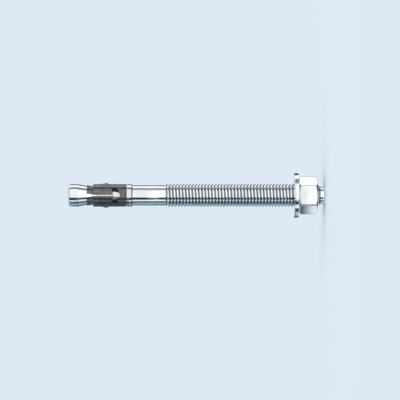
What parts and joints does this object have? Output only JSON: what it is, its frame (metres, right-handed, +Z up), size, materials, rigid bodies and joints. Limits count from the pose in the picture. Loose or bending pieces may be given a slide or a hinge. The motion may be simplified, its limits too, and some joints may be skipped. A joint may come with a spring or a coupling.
{
  "type": "wedge anchor",
  "caption": "Torque-set expansion anchor: a steel stud with a cone end, a slotted clip round its neck, a flat washer and a hexagon nut.",
  "frame": {"origin": "middle of the stud's flat striking end, on which the anchor stands", "axes": "+Z up the stud's axis, from the nut to the cone; -Y faces the clip's slot and a flat of the nut; +X faces a tooth of the clip and a corner of the nut"},
  "size_m": [0.024, 0.024, 0.1385],
  "materials": {
    "zinc_steel": "bright zinc plating",
    "clip_steel": "dark satin"
  },
  "bodies": {
    "bolt": {"anchor_bolt": "zinc_steel"},
    "clip": {"expansion_clip": "clip_steel"},
    "washer": {"washer": "zinc_steel"},
    "nut": {"hex_nut": "zinc_steel"}
  },
  "joints": [
    {"name": "clip_turn", "type": "hinge", "parent": "bolt", "child": "clip", "pos_m": [0, 0, 0.117], "axis": [0, 0, 1], "continuous": true},
    {"name": "nut_travel", "type": "slide", "parent": "bolt", "child": "washer", "axis": [0, 0, 1], "range_m": [-0.0039, 0.0715]},
    {"name": "nut_turn", "type": "hinge", "parent": "washer", "child": "nut", "pos_m": [0, 0, 0.0089], "axis": [0, 0, 1], "range_deg": [-803, 14709]}
  ],
  "couplings": [
    {"joint": "nut_turn", "follows": "nut_travel", "rad_per_m": 3590.4}
  ]
}
